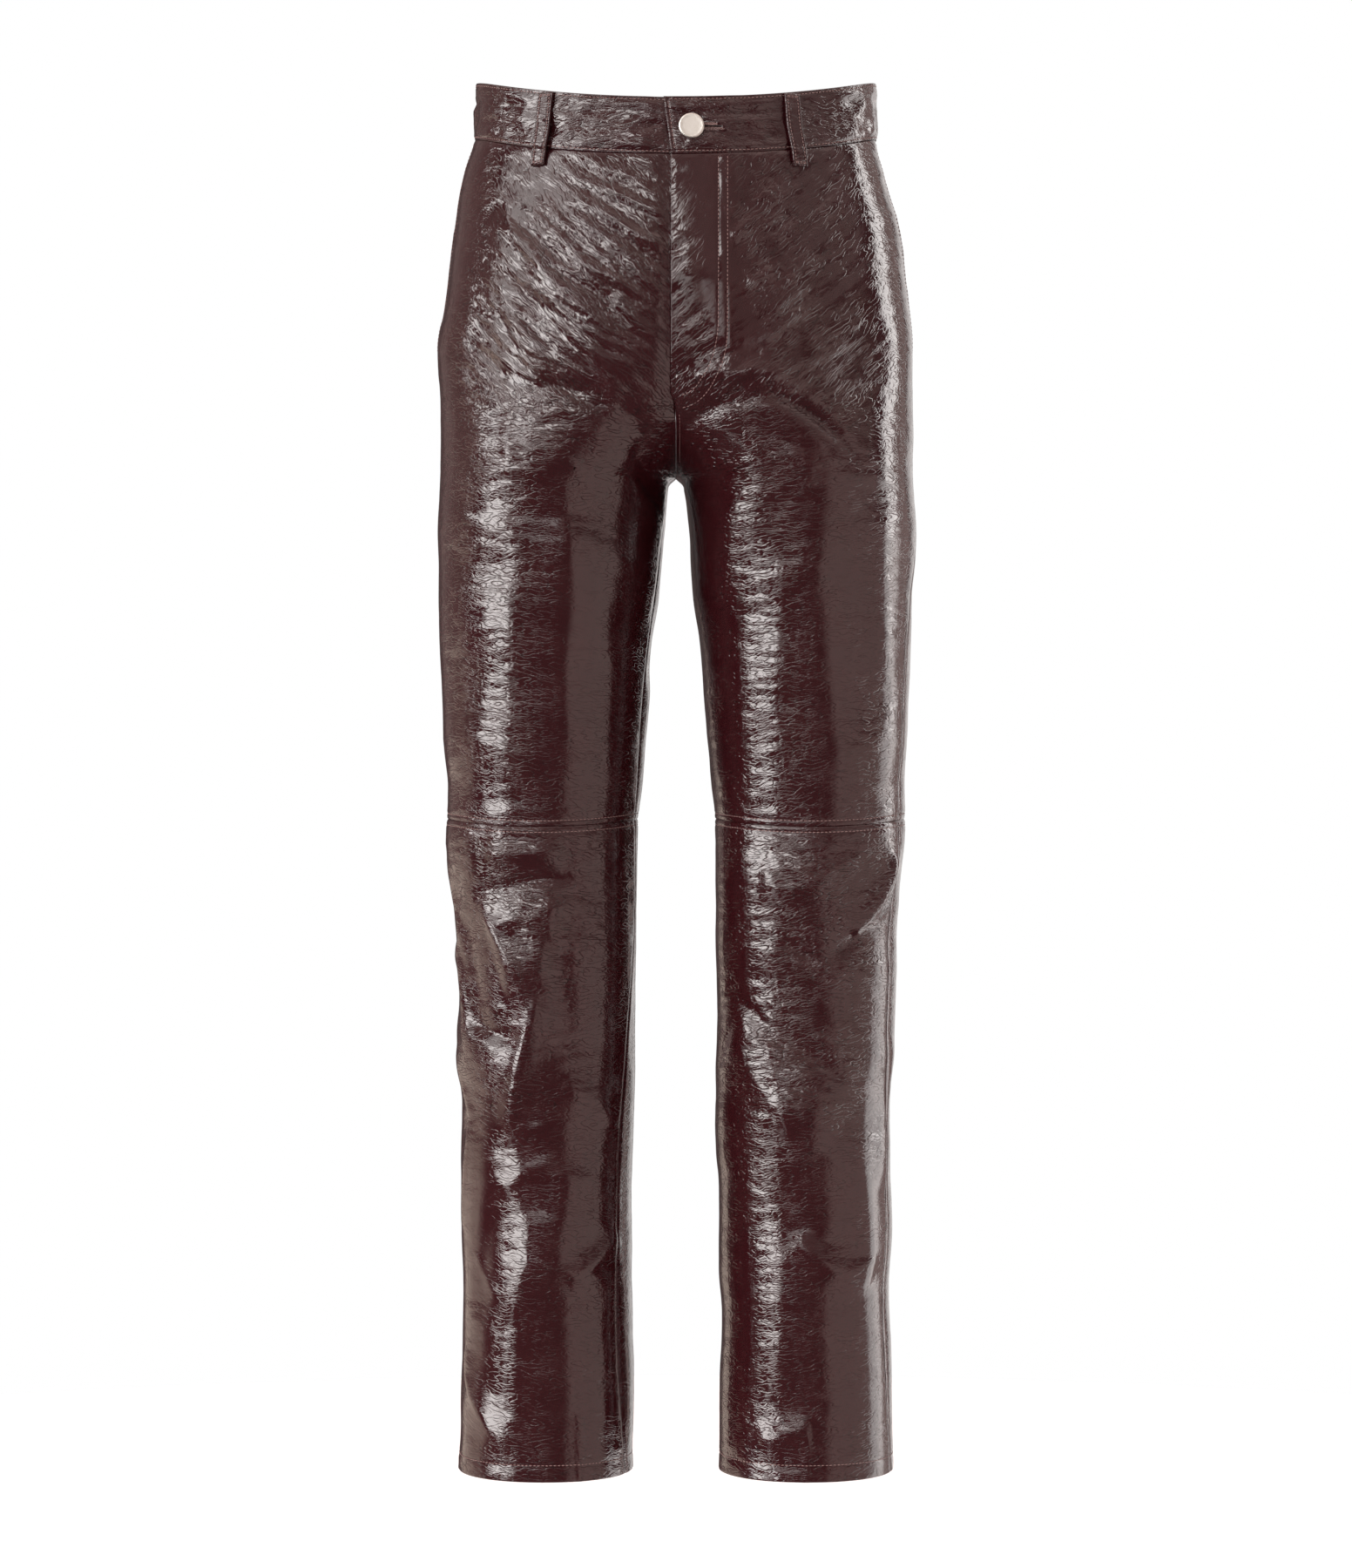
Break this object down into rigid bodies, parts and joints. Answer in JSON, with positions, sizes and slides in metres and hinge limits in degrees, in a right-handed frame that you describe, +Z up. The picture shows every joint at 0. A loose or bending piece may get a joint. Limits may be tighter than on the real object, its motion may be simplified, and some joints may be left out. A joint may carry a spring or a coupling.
{
  "type": "straight-leg trousers in glossy coated cotton cloth, filled out and hollow",
  "caption": "High-waisted straight-leg trousers with a waistband, buttoned curved fly, belt loops, side-seam pockets and seams across the knees.",
  "frame": {"origin": "centre of the waistband's ring, at about the middle of the band's height", "axes": "+Z up along the body from the hems to the waist, -Y the garment's front, +X the wearer's left"},
  "size_m": [0.3563, 0.2396, 1.0345],
  "materials": {
    "coated_cloth": "cotton cloth with a very glossy crinkled coating, dark burgundy brown",
    "cloth_inside": "uncoated matt wrong side, dark brown",
    "pale_nickel": "pale nickel plating, lightly brushed"
  },
  "bodies": {
    "root": {"front_thigh_right": "coated_cloth", "front_thigh_left": "coated_cloth", "front_shin_right": "coated_cloth", "front_shin_left": "coated_cloth", "back_thigh_right": "coated_cloth", "back_thigh_left": "coated_cloth", "back_shin_right": "coated_cloth", "back_shin_left": "coated_cloth", "waistband_right": "coated_cloth", "waistband_left": "coated_cloth", "fly_shield": "cloth_inside", "pocket_facing_right": "cloth_inside", "pocket_facing_left": "cloth_inside", "belt_loop_front_right": "coated_cloth", "belt_loop_front_left": "coated_cloth", "belt_loop_back_right": "coated_cloth", "belt_loop_back_left": "coated_cloth", "belt_loop_back_centre": "coated_cloth", "button": "pale_nickel"}
  },
  "joints": []
}
